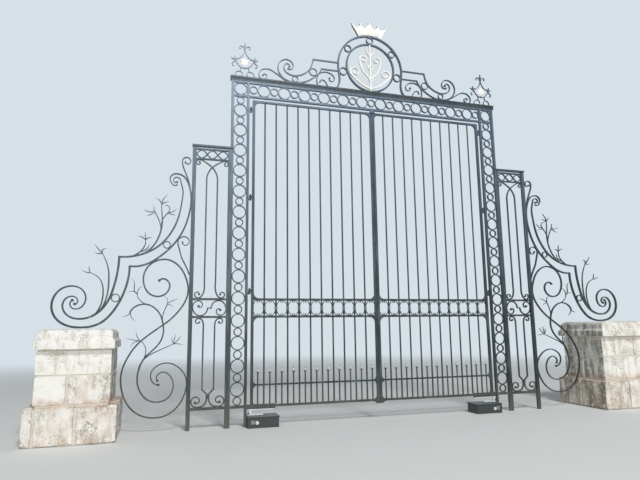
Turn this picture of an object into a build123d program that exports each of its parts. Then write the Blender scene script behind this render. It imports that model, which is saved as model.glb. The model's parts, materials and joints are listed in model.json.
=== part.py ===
from build123d import *
import math
import os

os.makedirs("parts", exist_ok=True)

# Driveway gate, in millimetres, seen from the drive: x to the right, y away from the viewer, z up.
# Everything is laid out from the middle of the opening and then moved so that the underside of the
# left hinge post is at the origin.

# Overall layout
CLEAR_WIDTH = 4012
POST_DEPTH = 40
HINGE_POST = 36
OUTER_POST = 40
BIG_RING = 198
RING_BAR = 14
RING_DEPTH = 30
HINGE_POST_X = CLEAR_WIDTH / 2 + HINGE_POST / 2
OUTER_POST_X = CLEAR_WIDTH / 2 + HINGE_POST + BIG_RING + OUTER_POST / 2
PILASTER_X = CLEAR_WIDTH / 2 + HINGE_POST + BIG_RING / 2
HOME = Pos(HINGE_POST_X, 0, 0)

# Frieze and cornice
FRIEZE_RAIL = 28
FRIEZE_LOW = 4850
FRIEZE_HIGH = FRIEZE_LOW + FRIEZE_RAIL + BIG_RING
CORNICE_LOW = FRIEZE_HIGH + FRIEZE_RAIL
CORNICE_HIGH = 72
CORNICE_TOP = CORNICE_LOW + CORNICE_HIGH
CORNICE_END = 20
CORNICE_HALF = OUTER_POST_X + OUTER_POST / 2 + CORNICE_END
FINIAL_X = CORNICE_HALF - 215
POST_TOP = CORNICE_LOW
RAIL_DEPTH = POST_DEPTH + 4
PILASTER_FOOT_RAIL = 256
FOOT_RAIL = 38

# Leaves
LEAF_DEPTH = 34
STILE = 38
STILE_GAP = 6
HINGE_GAP = 51
HINGE_STILE_X = CLEAR_WIDTH / 2 - HINGE_GAP - STILE / 2
MEETING_STILE_X = STILE_GAP / 2 + STILE / 2
BAYS = 11
BAR_PITCH = (HINGE_STILE_X - MEETING_STILE_X) / BAYS
BAR = 24
DOG_BAR = 20
PUNCH_GAP = 0.3
LEAF_BOTTOM = 258
BOTTOM_RAIL = 32
DOG_RAIL_Z = 551
DOG_RAIL = 24
LOCK_LOW_Z = 1501
LOCK_RAIL = 30
LOCK_HIGH_Z = 1750
LEAF_TOP = FRIEZE_LOW - 42
TOP_RAIL = 30
GUSSET = 55
BIG_GUSSET = 78
DOG_TOP = 725
DOG_TIP = 65

# Hinges
AXIS_X = CLEAR_WIDTH / 2 - HINGE_GAP / 2
EYE_R = 17
PIN_R = 8
EYE_HEIGHT = 44
EYES = (LEAF_TOP - 168, (LEAF_TOP + LOCK_HIGH_Z) / 2 - 17, LOCK_HIGH_Z + 116)
HEEL_LONG = 380
HEEL_LOW = LEAF_BOTTOM - 22
HEEL_HIGH = LEAF_BOTTOM + 42
HEEL_R = 19
PIVOT_R = 10
BOX_HIGH = HEEL_LOW - 89

# Side panels
PANEL_INNER = 32
PANEL_OUTER = 55
PANEL_IN_X = OUTER_POST_X + OUTER_POST / 2 + PANEL_INNER / 2
PANEL_OUT_X = PANEL_IN_X + 507
PANEL_TOP = 4000
CAP_HIGH = 28
PANEL_FRIEZE = 130
PANEL_RAIL = 20
PANEL_CLEAR = PANEL_OUT_X - PANEL_OUTER / 2 - PANEL_IN_X - PANEL_INNER / 2
PANEL_MID = PANEL_IN_X + PANEL_INNER / 2 + PANEL_CLEAR / 2
PANEL_HALF = PANEL_CLEAR / 2
SCROLL_BAR = 14
WING_FACE = PANEL_OUT_X + PANEL_OUTER / 2

# Piers
PIER_X = WING_FACE + 1364.5
PIER_DEEP = 900
SHAFT_HALF = 440
CAP_HALF = 480
PLINTH_HALF = 540
PLINTH_TOP = 460
SHAFT_TOP = 1112
CAP_SLAB = 140
CAP_CROWN = 124
PIER_TOP = SHAFT_TOP + CAP_SLAB + CAP_CROWN
RIGHT_LIFT = 32
RIGHT_DRAW = 0.022


def block(x0, x1, z0, z1, deep, y=0):
    return Pos((x0 + x1) / 2, y, (z0 + z1) / 2) * Box(abs(x1 - x0), deep, z1 - z0)


def upright(flat, deep, y=0):
    # A drawing in x and z thickened evenly to both sides of the gate's middle plane.
    return Pos(0, y, 0) * Rot(90, 0, 0) * extrude(flat, amount=deep / 2, both=True)


def disc(x, z, radius):
    return Pos(x, z) * Circle(radius)


def annulus(x, z, radius, bar=RING_BAR):
    return Pos(x, z) * (Circle(radius) - Circle(radius - bar))


def panel(x0, x1, z0, z1):
    return Pos((x0 + x1) / 2, (z0 + z1) / 2) * Rectangle(abs(x1 - x0), abs(z1 - z0))


def joined(pieces):
    flat = pieces[0]
    if len(pieces) > 1:
        flat = pieces[0] + pieces[1:]
    return flat


def coil(x, z, r0, r1, a0, a1):
    # Points of a spiral round (x, z) from radius r0 at a0 degrees to radius r1 at a1 degrees.
    steps = max(3, round(abs(a1 - a0) / 35))
    points = []
    for i in range(steps + 1):
        part = i / steps
        a = math.radians(a0 + (a1 - a0) * part)
        r = r0 + (r1 - r0) * part
        points.append((x + r * math.cos(a), z + r * math.sin(a)))
    return points


def ribbon(points, bar, tip=None, eye=0):
    # A flat bar on edge that follows a smooth line, drawn out to the width tip at its end, which is
    # forged into a round eye where eye gives its radius.
    tip = bar if tip is None else tip
    path = Spline(*points)
    count = 2 * len(points) + 2
    left = []
    right = []
    for i in range(count + 1):
        part = i / count
        spot = path @ part
        along = path % part
        side = Vector(-along.Y, along.X, 0)
        half = (bar + (tip - bar) * max(0, 2 * part - 1)) / 2
        left.append(spot + side * half)
        right.append(spot - side * half)
    right.reverse()
    outline = [Spline(*left), Line(left[-1], right[0]), Spline(*right), Line(right[-1], left[0])]
    flat = make_face(outline)
    if eye:
        flat = flat + disc(points[-1][0], points[-1][1], eye)
    return flat


def straight(points, bar):
    # A flat bar bent with square corners.
    pieces = []
    for start, end in zip(points, points[1:]):
        long = math.dist(start, end)
        turn = math.degrees(math.atan2(end[1] - start[1], end[0] - start[0]))
        middle = Pos((start[0] + end[0]) / 2, (start[1] + end[1]) / 2)
        pieces.append(middle * Rot(0, 0, turn) * Rectangle(long + bar, bar))
    return joined(pieces)


def gusset(x, z, dx, dz, size=GUSSET):
    # A concave web in the corner at (x, z), spreading towards dx and dz.
    corner = panel(x, x + dx * size, z, z + dz * size)
    return corner - disc(x + dx * size, z + dz * size, size)


def ring_row(start, long, number):
    # Centres and radii of alternating rings, small ones first and last, filling a run.
    small = (long - number * BIG_RING) / (number + 1)
    spots = []
    at = start
    for i in range(2 * number + 1):
        across = BIG_RING if i % 2 else small
        spots.append((at + across / 2, across / 2))
        at += across
    return spots


def save(shape, name):
    solids = [HOME * solid for solid in shape.solids()]
    export_step(Compound(solids), "parts/" + name + ".step")


def other(shape):
    return mirror(shape, about=Plane.YZ)


def both(shape, name):
    save(shape, "left_" + name)
    save(other(shape), "right_" + name)


# Hinge posts with their gudgeons
post_in = -CLEAR_WIDTH / 2
hinge_post = block(post_in - HINGE_POST, post_in, 0, POST_TOP, POST_DEPTH)
for eye in EYES:
    arm = block(post_in - 1, -AXIS_X, eye - 30, eye - 1, 20)
    knuckle = Pos(-AXIS_X, 0, eye - 15.5) * Cylinder(EYE_R, 29)
    pin = Pos(-AXIS_X, 0, eye + 12) * Cylinder(PIN_R, 84)
    hinge_post += arm + knuckle + pin
both(hinge_post, "hinge_post")

# Outer pilaster posts
post_out = -(OUTER_POST_X + OUTER_POST / 2)
both(block(post_out, post_out + OUTER_POST, 0, POST_TOP, POST_DEPTH), "outer_post")

# Pilaster rings with their cross bars
gap0 = post_out + OUTER_POST
gap1 = post_in - HINGE_POST
column = []
base = PILASTER_FOOT_RAIL + FOOT_RAIL
for spot, radius in ring_row(base, FRIEZE_LOW - base, 14):
    column.append(annulus(-PILASTER_X, spot, radius + 1))
column.append(annulus(-PILASTER_X, FRIEZE_LOW + FRIEZE_RAIL + BIG_RING / 2, BIG_RING / 2 + 1))
column = joined(column) & panel(gap0, gap1, base - 1, FRIEZE_HIGH + 1)
rungs = upright(column, RING_DEPTH)
rungs += block(gap0, gap1, PILASTER_FOOT_RAIL, base, POST_DEPTH)
rungs += block(gap0, gap1, FRIEZE_LOW, FRIEZE_LOW + FRIEZE_RAIL, POST_DEPTH)
rungs += block(gap0, gap1, FRIEZE_HIGH, CORNICE_LOW, POST_DEPTH)
both(rungs, "pilaster_rings")

# Frieze
half = CLEAR_WIDTH / 2
frieze = []
for spot, radius in ring_row(-half, CLEAR_WIDTH, 12):
    frieze.append(annulus(spot, FRIEZE_LOW + FRIEZE_RAIL + BIG_RING / 2, radius + 1))
frieze = joined(frieze) & panel(-half, half, FRIEZE_LOW + FRIEZE_RAIL, FRIEZE_HIGH)
save(upright(frieze, RING_DEPTH), "frieze_rings")
low_rail = block(-half, half, FRIEZE_LOW, FRIEZE_LOW + FRIEZE_RAIL, RAIL_DEPTH)
low_rail += block(-45, 45, FRIEZE_LOW - 46, FRIEZE_LOW + 14, 12, -(RAIL_DEPTH / 2 + 6))
save(low_rail, "frieze_lower_rail")
save(block(-half, half, FRIEZE_HIGH, CORNICE_LOW, RAIL_DEPTH), "frieze_upper_rail")

# Cornice
deep0 = POST_DEPTH / 2 + 4
deep1 = POST_DEPTH / 2 + 14
lip = CORNICE_TOP - 22
profile = [
    Line((-deep0, CORNICE_LOW), (-deep0, CORNICE_LOW + 12)),
    Spline((-deep0, CORNICE_LOW + 12), (-deep0 - 2, CORNICE_LOW + 32), (-deep1 + 3, lip)),
    Line((-deep1 + 3, lip), (-deep1, lip)),
    Line((-deep1, lip), (-deep1, CORNICE_TOP)),
    Line((-deep1, CORNICE_TOP), (deep1, CORNICE_TOP)),
    Line((deep1, CORNICE_TOP), (deep1, lip)),
    Line((deep1, lip), (deep1 - 3, lip)),
    Spline((deep1 - 3, lip), (deep0 + 2, CORNICE_LOW + 32), (deep0, CORNICE_LOW + 12)),
    Line((deep0, CORNICE_LOW + 12), (deep0, CORNICE_LOW)),
    Line((deep0, CORNICE_LOW), (-deep0, CORNICE_LOW)),
]
moulding = extrude(make_face(profile), amount=CORNICE_HALF, both=True)
save(Rot(0, 0, 90) * Rot(90, 0, 0) * moulding, "cornice")

# Leaves: the left one drawn, the right one mirrored
hinge_side = -(HINGE_STILE_X + STILE / 2)
meet_side = -STILE_GAP / 2
inner0 = hinge_side + STILE
inner1 = meet_side - STILE
bars = [-(HINGE_STILE_X - BAR_PITCH * k) for k in range(1, BAYS)]
dogs = [-(HINGE_STILE_X - BAR_PITCH * (k + 0.5)) for k in range(BAYS)]
webs = [
    panel(hinge_side, inner0, LEAF_BOTTOM, LEAF_TOP),
    panel(inner1, meet_side, LEAF_BOTTOM, LEAF_TOP),
    panel(hinge_side, meet_side, LEAF_BOTTOM, LEAF_BOTTOM + BOTTOM_RAIL),
    panel(hinge_side, meet_side, DOG_RAIL_Z, DOG_RAIL_Z + DOG_RAIL),
    panel(hinge_side, meet_side, LOCK_LOW_Z, LOCK_LOW_Z + LOCK_RAIL),
    panel(hinge_side, meet_side, LOCK_HIGH_Z, LOCK_HIGH_Z + LOCK_RAIL),
    panel(hinge_side, meet_side, LEAF_TOP - TOP_RAIL, LEAF_TOP),
]
for x, dx in ((inner0, 1), (inner1, -1)):
    webs.append(gusset(x, LEAF_BOTTOM + BOTTOM_RAIL, dx, 1))
    webs.append(gusset(x, DOG_RAIL_Z, dx, -1))
    webs.append(gusset(x, DOG_RAIL_Z + DOG_RAIL, dx, 1))
    webs.append(gusset(x, LOCK_LOW_Z, dx, -1, BIG_GUSSET))
    webs.append(gusset(x, LOCK_HIGH_Z + LOCK_RAIL, dx, 1, BIG_GUSSET))
    webs.append(gusset(x, LEAF_TOP - TOP_RAIL, dx, -1, BIG_GUSSET))
foot = panel(inner1 - 70, meet_side, LEAF_BOTTOM - 30, LEAF_BOTTOM)
foot = foot - disc(inner1 - 70, LEAF_BOTTOM - 70, 70)
webs.append(foot)
leaf = upright(joined(webs), LEAF_DEPTH)
heel_end = -AXIS_X
heel = block(heel_end, heel_end + HEEL_LONG, HEEL_LOW, HEEL_HIGH, 2 * HEEL_R)
heel += Pos(heel_end, 0, (HEEL_LOW + HEEL_HIGH) / 2) * Cylinder(HEEL_R, HEEL_HIGH - HEEL_LOW)
leaf += heel
bracket_z = BOX_HIGH + 8
bracket = block(heel_end, heel_end + 205, bracket_z, bracket_z + 12, 2 * HEEL_R)
bracket += block(heel_end + 38, heel_end + 205, bracket_z, bracket_z + 12, 64)
bracket += Pos(heel_end, 0, bracket_z + 6) * Cylinder(HEEL_R, 12)
bracket += block(heel_end + 14, heel_end + 38, bracket_z + 12, HEEL_LOW - 10, 2 * HEEL_R)
bracket += block(heel_end, heel_end + 368, HEEL_LOW - 10, HEEL_LOW, 2 * HEEL_R)
bracket += block(heel_end + 38, heel_end + 368, HEEL_LOW - 10, HEEL_LOW, 56)
bracket += Pos(heel_end, 0, HEEL_LOW - 5) * Cylinder(HEEL_R, 10)
socket = Pos(heel_end, 0, bracket_z + 6) * Cylinder(PIVOT_R + 0.5, 14)
both(bracket - socket, "heel_bracket")
for eye in EYES:
    arm = block(-AXIS_X, inner0 - 10, eye, eye + EYE_HEIGHT, 20)
    arm += Pos(-AXIS_X, 0, eye + EYE_HEIGHT / 2) * Cylinder(EYE_R, EYE_HEIGHT)
    leaf += arm
for eye in EYES:
    leaf -= Pos(-AXIS_X, 0, eye + EYE_HEIGHT / 2) * Cylinder(PIN_R + 0.5, EYE_HEIGHT + 2)
holes = []
for x in bars:
    for z, high in ((DOG_RAIL_Z, DOG_RAIL), (LOCK_LOW_Z, LOCK_RAIL), (LOCK_HIGH_Z, LOCK_RAIL)):
        holes.append(Pos(x, 0, z + high / 2) * Cylinder(BAR / 2 + PUNCH_GAP, high + 2))
for x in dogs:
    holes.append(Pos(x, 0, DOG_RAIL_Z + DOG_RAIL / 2) * Cylinder(DOG_BAR / 2 + PUNCH_GAP, DOG_RAIL + 2))
leaf = leaf - holes
both(leaf, "leaf_frame")

# Round bars with a forged knob in the lock band
knob_z = (LOCK_LOW_Z + LOCK_RAIL + LOCK_HIGH_Z) / 2
bar_low = LEAF_BOTTOM + BOTTOM_RAIL
bar_high = LEAF_TOP - TOP_RAIL
long_bars = []
for x in bars:
    z0 = bar_low
    if x < -AXIS_X + HEEL_LONG + BAR:
        z0 = HEEL_HIGH
    rod = Pos(x, 0, (z0 + bar_high) / 2) * Cylinder(BAR / 2, bar_high - z0)
    rod += Pos(x, 0, knob_z) * Cylinder(BAR / 2 + 9, 24)
    rod += Pos(x, 0, knob_z + 18) * Cylinder(BAR / 2 + 4, 12)
    rod += Pos(x, 0, knob_z - 18) * Cylinder(BAR / 2 + 4, 12)
    rod += Pos(x, 0, knob_z + 36) * Cone(BAR / 2 + 3, BAR / 2 - 1, 24)
    rod += Pos(x, 0, knob_z - 36) * Cone(BAR / 2 - 1, BAR / 2 + 3, 24)
    long_bars.append(rod)
both(Compound(long_bars), "leaf_bars")

# Dog bars with drawn points
short_bars = []
for x in dogs:
    z0 = bar_low
    if x < -AXIS_X + HEEL_LONG + BAR:
        z0 = HEEL_HIGH
    rod = Pos(x, 0, (z0 + DOG_TOP) / 2) * Cylinder(DOG_BAR / 2, DOG_TOP - z0)
    rod += Pos(x, 0, DOG_TOP + 4) * Cylinder(DOG_BAR / 2 + 4, 8)
    rod += Pos(x, 0, DOG_TOP + 8 + DOG_TIP / 2) * Cone(DOG_BAR / 2 + 1, 1.5, DOG_TIP)
    short_bars.append(rod)
both(Compound(short_bars), "leaf_dog_bars")

# Small scrolls of the lock band, two a bay, one against each lock rail
band_low = LOCK_LOW_Z + LOCK_RAIL
edges = [inner0] + [x + BAR / 2 + PUNCH_GAP for x in bars]
ends = [x - BAR / 2 - PUNCH_GAP for x in bars] + [inner1]
curls = []
for x, end, start in zip(dogs, ends, edges):
    for rail, way in ((LOCK_HIGH_Z, -1), (band_low, 1)):
        sketch = []
        for side in (-1, 1):
            path = [(84, 64), (69, 54), (57, 32), (42, 10), (24, 4), (11, 13), (14, 28), (25, 27)]
            sketch.append(ribbon([(x + side * u, rail + way * v) for u, v in path], 9, 7))
        sketch.append(panel(x - 24, x + 24, rail, rail + way * 6))
        room = panel(start, end, min(rail, rail + way * 100), max(rail, rail + way * 100))
        curls.append(upright(joined(sketch) & room, 14))
both(Compound(curls), "leaf_band_scrolls")

# Pivot boxes at the foot of the hinge posts
box = block(post_in, post_in + 436, 0, BOX_HIGH - 12, 284)
box += block(post_in, post_in + 450, BOX_HIGH - 12, BOX_HIGH, 304)
box += Pos(-AXIS_X, 0, BOX_HIGH + 20) * Cylinder(PIVOT_R, 50)
both(box, "pivot_box")

# Side panels: posts, cap and rails
panel_out = -(PANEL_OUT_X + PANEL_OUTER / 2)
outer_bar = block(panel_out, panel_out + PANEL_OUTER, 0, PANEL_TOP, POST_DEPTH)
inner_bar = block(post_out - PANEL_INNER, post_out, 0, PANEL_TOP, POST_DEPTH)
both(Compound([outer_bar, inner_bar]), "panel_posts")
mid = -PANEL_MID
left_face = mid - PANEL_HALF
right_face = mid + PANEL_HALF
frieze_floor = PANEL_TOP - 45 - PANEL_FRIEZE
rail_low = frieze_floor - PANEL_RAIL
cap = block(panel_out - 7, post_out + 34, PANEL_TOP, PANEL_TOP + CAP_HIGH, POST_DEPTH + 24)
cap -= block(post_out, post_out + OUTER_POST, 0, POST_TOP, POST_DEPTH)
rails = [cap]
for z, high in (
    (frieze_floor + PANEL_FRIEZE, PANEL_RAIL),
    (rail_low, PANEL_RAIL),
    (LOCK_HIGH_Z, LOCK_RAIL),
    (LOCK_LOW_Z, LOCK_RAIL),
    (PILASTER_FOOT_RAIL, FOOT_RAIL),
):
    rails.append(block(left_face, right_face, z, z + high, POST_DEPTH - 4))
both(Compound(rails), "panel_rails")


def flip(points):
    return [(2 * mid - x, z) for x, z in points]


def paired(points, bar, tip=None, eye=0):
    return [ribbon(points, bar, tip, eye), ribbon(flip(points), bar, tip, eye)]


# Interlaced frieze of the panel
wave = PANEL_CLEAR / 3
swing = PANEL_FRIEZE / 2 - 4
knot = []
for side in (-1, 1):
    line = []
    for i in range(13):
        u = i / 4
        z = frieze_floor + PANEL_FRIEZE / 2 + side * swing * math.sin(math.pi * u)
        line.append((left_face + u * wave, z))
    knot.append(ribbon(line, 10))
for x in (left_face + wave, right_face - wave):
    knot.append(disc(x, frieze_floor + PANEL_FRIEZE / 2, 14))
knot = joined(knot) & panel(left_face, right_face, frieze_floor, frieze_floor + PANEL_FRIEZE)
fill = [upright(knot, 20)]

# Arch bars, crossing under the panel's frieze and curling out at both ends
leg = 78
spring = rail_low - 305
arch = [(mid - leg, spring), (mid - leg + 14, spring + 90), (mid - leg + 56, spring + 168)]
arch += [(mid - leg + 122, spring + 232), (mid + 112, spring + 277), (mid + 168, rail_low - 4)]
arch += coil(right_face - 37, rail_low - 48, 40, 16, 62, -230)
foot_z = LOCK_HIGH_Z + LOCK_RAIL
foot = [(mid - leg, foot_z + 230), (mid - leg, foot_z + 120), (mid - leg - 26, foot_z + 42)]
foot += coil(left_face + 65, foot_z + 54, 54, 20, -60, -360)
arches = paired(arch, SCROLL_BAR, 8, 11) + paired(foot, SCROLL_BAR, 8, 13)
for x in (mid - leg, mid + leg):
    arches.append(panel(x - SCROLL_BAR / 2, x + SCROLL_BAR / 2, foot_z + 225, spring + 5))
arches = joined(arches) & panel(left_face, right_face, foot_z, rail_low)
fill.append(upright(arches, 16))

# Stepped S-scroll of the mid band
band_mid = (LOCK_LOW_Z + LOCK_RAIL + LOCK_HIGH_Z) / 2
curl = [(mid - 24, band_mid - 4), (mid - 40, band_mid - 55), (mid - 80, band_mid - 94)]
curl += [(mid - 130, band_mid - 105), (mid - 186, band_mid - 85), (mid - 225, band_mid - 25)]
curl += [(mid - 228, band_mid + 42), (mid - 180, band_mid + 96), (mid - 125, band_mid + 92)]
curl += [(mid - 97, band_mid + 45), (mid - 122, band_mid + 8), (mid - 150, band_mid + 26)]
turned = [(2 * mid - x, 2 * band_mid - z) for x, z in curl]
scroll = [ribbon(curl, 12, 8, 15), ribbon(turned, 12, 8, 15)]
scroll.append(panel(mid - 30, mid + 30, band_mid - 6, band_mid + 6))
scroll = joined(scroll) & panel(left_face, right_face, LOCK_LOW_Z + LOCK_RAIL, LOCK_HIGH_Z)
fill.append(upright(scroll, 18))

# Lower bars of the panel
sill = PILASTER_FOOT_RAIL + FOOT_RAIL
head = LOCK_LOW_Z
top_curl = [(mid - leg, head - 160), (mid - leg - 2, head - 80), (mid - leg - 24, head - 24)]
top_curl += coil(mid - 152, head - 50, 46, 18, 75, 330)
base_curl = [(mid - 12, sill + 148), (mid - 16, sill + 90), (mid - 52, sill + 28), (mid - 110, sill + 6)]
base_curl += coil(mid - 152, sill + 84, 78, 24, -120, -480)
lower = paired(top_curl, SCROLL_BAR, 8, 13) + paired(base_curl, SCROLL_BAR, 8, 15)
for side in (-1, 1):
    bend = [(mid + side * leg, head - 150), (mid + side * leg, sill + 236), (mid + side * 12, sill + 168)]
    bend.append((mid + side * 12, sill + 130))
    lower.append(straight(bend, SCROLL_BAR))
lower.append(panel(mid - 24, mid + 24, sill + 126, sill + 152))
lower = joined(lower) & panel(left_face, right_face, sill, head)
fill.append(upright(lower, 16))
both(Compound(fill), "panel_scrolls")


# Wings, drawn as distances out from the panel post and heights over the pier's top. The right pier
# and its wing stand higher by lift, and the foot of that wing is drawn up further.
def outward(points, lift=0, draw=0):
    return [(-(WING_FACE + d), PIER_TOP + z + lift + draw * max(0, 400 - z)) for d, z in points]


def strand(points, bar, tip=None, eye=0, lift=0, draw=0):
    return ribbon(outward(points, lift, draw), bar, tip, eye)


beyond = panel(-WING_FACE - 2000, -WING_FACE, 0, PANEL_TOP + 200)
rise = [(940, 962), (770, 974), (590, 1029), (434, 1124), (314, 1254), (222, 1414), (158, 1614)]
rise += [(130, 1804), (124, 1954), (150, 2054)] + coil(219, 2084, 58, 22, 140, -120)
fall = [(940, 962), (950, 774), (990, 554), (1054, 364), (1160, 219), (1280, 144), (1390, 124)]
fall += [(1500, 144), (1580, 209), (1612, 299), (1590, 374), (1535, 416), (1470, 414), (1432, 374)]
fall += [(1438, 334), (1465, 319)]
low_rise = [(800, 836), (670, 842), (540, 889), (390, 994), (264, 1114), (154, 1264), (74, 1434)]
low_rise += [(34, 1574), (10, 1704), (4, 1780)]
low_fall = [(800, 836), (806, 704), (832, 564), (890, 394), (990, 214), (1120, 79), (1260, 22)]
low_fall += [(1410, 13), (1570, 49), (1690, 144), (1742, 284), (1710, 434), (1620, 529), (1500, 556)]
low_fall += [(1395, 519), (1338, 434), (1342, 339), (1395, 269), (1460, 254), (1510, 284)]
low_fall += [(1522, 334), (1495, 369)]
crook = [(5, 1770), (14, 1924), (54, 2064), (120, 2159)] + coil(229, 2094, 98, 70, 105, -30)
crook += [(260, 2019), (210, 2024)]
sweep = [
    strand(rise, 24, 12, 16),
    strand(fall, 28, 14, 18),
    strand(low_rise, 24),
    strand(low_fall, 28, 14, 18),
    strand(crook, 20, 12, 12),
]
for d, z, size in ((940, 962, 26), (800, 836, 24)):
    x, z = outward([(d, z)])[0]
    sweep.append(panel(x - size / 2, x + size / 2, z - size / 2, z + size / 2))
for d, z, radius in ((319, 1148, 54), (963, 401, 58)):
    x, z = outward([(d, z)])[0]
    sweep.append(annulus(x, z, radius, 13))
hooks = [
    strand([(24, 1966), (54, 2110), (110, 2250), (142, 2364)] + coil(74, 2384, 68, 30, 30, 330), 18, 10, 14),
    strand([(4, 730), (54, 854), (114, 974), (152, 1104)] + coil(78, 1194, 92, 30, 10, 350), 18, 10, 14),
]
cap_room = panel(-PIER_X - CAP_HALF, -PIER_X + CAP_HALF, PIER_TOP - 60, PIER_TOP)
sweep = (joined(sweep + hooks) & beyond) - cap_room

# Leaf sprays on the sweep
stems = [
    ([(610, 1024), (520, 1104), (450, 1214), (410, 1334), (392, 1474), (402, 1604), (406, 1734)], 22, 12),
    ([(408, 1344), (420, 1444), (460, 1544), (504, 1634), (514, 1694)], 14, 8),
    ([(398, 1424), (374, 1534), (320, 1609), (294, 1664), (320, 1709), (360, 1714)], 14, 8),
    ([(770, 974), (680, 1034), (624, 1104), (608, 1214)], 18, 10),
    ([(660, 1044), (590, 1079), (554, 1154)], 16, 4),
    ([(1160, 224), (1094, 344), (1064, 484), (1058, 644), (1074, 804), (1120, 934), (1160, 1009)], 20, 10),
    ([(1210, 184), (1144, 304), (1122, 434), (1132, 564), (1180, 664), (1244, 714), (1300, 739)], 18, 8),
]
petals = [
    ([(406, 1724), (432, 1774), (480, 1809)], 13),
    ([(406, 1724), (392, 1794), (334, 1869)], 13),
    ([(406, 1724), (370, 1754), (314, 1769)], 13),
    ([(504, 1624), (560, 1609), (640, 1639)], 11),
    ([(490, 1609), (550, 1574), (600, 1549)], 11),
    ([(310, 1614), (260, 1624), (200, 1679)], 11),
    ([(324, 1599), (270, 1589), (210, 1579)], 11),
    ([(608, 1209), (610, 1264), (622, 1324)], 13),
    ([(608, 1209), (650, 1244), (710, 1259)], 13),
    ([(608, 1209), (574, 1234), (530, 1244)], 13),
    ([(1158, 1004), (1204, 1054), (1260, 1129)], 13),
    ([(1158, 1004), (1154, 1054), (1110, 1069)], 13),
    ([(1158, 1004), (1200, 999), (1254, 1009)], 13),
    ([(1294, 736), (1310, 774), (1312, 829)], 11),
    ([(1294, 736), (1344, 742), (1400, 774)], 11),
]
sprays = [strand(points, bar, tip) for points, bar, tip in stems]
sprays += [strand(points, bar, 3) for points, bar in petals]
wing = upright(sweep, 28) + upright(joined(sprays), 14)
save(wing, "left_wing_sweep")
save(Pos(0, 0, RIGHT_LIFT) * other(wing), "right_wing_sweep")

# Hanging scroll of the wing
hang = [(404, 644), (360, 669), (300, 649), (262, 584), (280, 504), (340, 444), (424, 424)]
hang += [(530, 464), (600, 574), (612, 704), (575, 812), (505, 888), (400, 934), (300, 938), (215, 905)]
hang += [(112, 812), (42, 674), (10, 520), (40, 374), (124, 234), (244, 104), (384, -1)]
hang += [(540, -116), (670, -236), (780, -406), (844, -596), (834, -796), (760, -986), (620, -1126)]
hang += [(420, -1186), (230, -1151), (95, -1036), (18, -880), (5, -700), (92, -556), (250, -478)]
hang += [(390, -511), (470, -616), (440, -726), (370, -761)]
cross = [(770, 204), (730, 264), (650, 309), (550, 314), (450, 264), (380, 184), (340, 74)]
cross += [(324, -46), (360, -186), (460, -306), (560, -406), (620, -536), (642, -686), (590, -856)]
cross += [(490, -956), (370, -984), (250, -946), (180, -836), (180, -726), (230, -636), (320, -596)]
cross += [(390, -646), (384, -706)]
tendrils = [
    ([(342, 104), (334, 194), (304, 274), (282, 344), (292, 394), (330, 424)], 12, 5),
    ([(510, 304), (590, 329), (650, 374), (690, 464)], 12, 8),
    ([(624, -526), (570, -416), (544, -316), (570, -226), (630, -171)], 12, 8),
    ([(630, -546), (570, -426), (460, -346), (380, -308), (290, -268), (180, -222)], 14, 9),
]
tips = [
    ([(288, 324), (230, 359), (144, 392)], 10),
    ([(300, 294), (260, 314), (214, 279)], 9),
    ([(684, 454), (728, 524), (732, 624), (770, 664)], 12),
    ([(684, 454), (674, 514), (624, 564)], 10),
    ([(684, 454), (730, 489), (800, 484)], 10),
    ([(760, 224), (790, 174), (870, 154)], 10),
    ([(760, 224), (750, 144), (700, 94)], 10),
    ([(624, -176), (664, -116), (680, -51)], 10),
    ([(624, -176), (710, -161), (800, -136)], 10),
    ([(624, -176), (700, -196), (744, -256)], 10),
    ([(624, -176), (584, -151), (544, -136)], 9),
    ([(182, -222), (120, -224), (56, -240)], 10),
    ([(182, -222), (128, -170), (88, -112)], 10),
    ([(182, -222), (178, -160), (160, -92)], 10),
    ([(182, -222), (206, -180), (206, -128)], 9),
]


def hanging(lift, draw):
    straps = [strand(hang, 22, 14, 18, lift, draw), strand(cross, 20, 13, 16, lift, draw)]
    x, z = outward(hang[:1], lift, draw)[0]
    straps.append(disc(x, z, 19))
    straps = (joined(straps) & beyond) - strand(low_rise, 25, None, 0, lift)
    twigs = [strand(points, bar, tip, 0, lift, draw) for points, bar, tip in tendrils]
    twigs += [strand(points, bar, 3, 0, lift, draw) for points, bar in tips]
    return upright(straps, 24) + upright(joined(twigs), 13)


save(hanging(0, 0), "left_wing_scroll")
save(other(hanging(RIGHT_LIFT, RIGHT_DRAW)), "right_wing_scroll")


# Crest, drawn from the middle and up from the cornice's top
def crest(points, side=1):
    return [(side * x, CORNICE_TOP + z) for x, z in points]


over = panel(-CORNICE_HALF, CORNICE_HALF, CORNICE_TOP, CORNICE_TOP + 1500)
hub = CORNICE_TOP + 421
inner_ring = 428
outer_ring = 573
ring_bar = 26
flare = [(-560, 424), (-557, 326), (-546, 236), (-541, 146), (-557, 66), (-602, -6)]
circles = [annulus(0, hub, outer_ring, ring_bar) - panel(-700, 700, hub - 700, hub)]
circles.append(annulus(0, hub, inner_ring, ring_bar))
circles.append(ribbon(crest(flare), ring_bar))
circles.append(ribbon(crest(flare, -1), ring_bar))
between = (inner_ring + outer_ring - ring_bar) / 2
for turn in (37, 90, 143):
    a = math.radians(turn)
    circles.append(annulus(between * math.cos(a), hub + between * math.sin(a), 61, 13))
circles.append(annulus(477, hub - 118, 68, 13))
circles.append(annulus(-477, hub - 118, 68, 13))
mortise = panel(-11, 11, CORNICE_TOP + 10, hub + inner_ring - 14)
save(upright((joined(circles) & over) - mortise, 36), "crest_circles")

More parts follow.
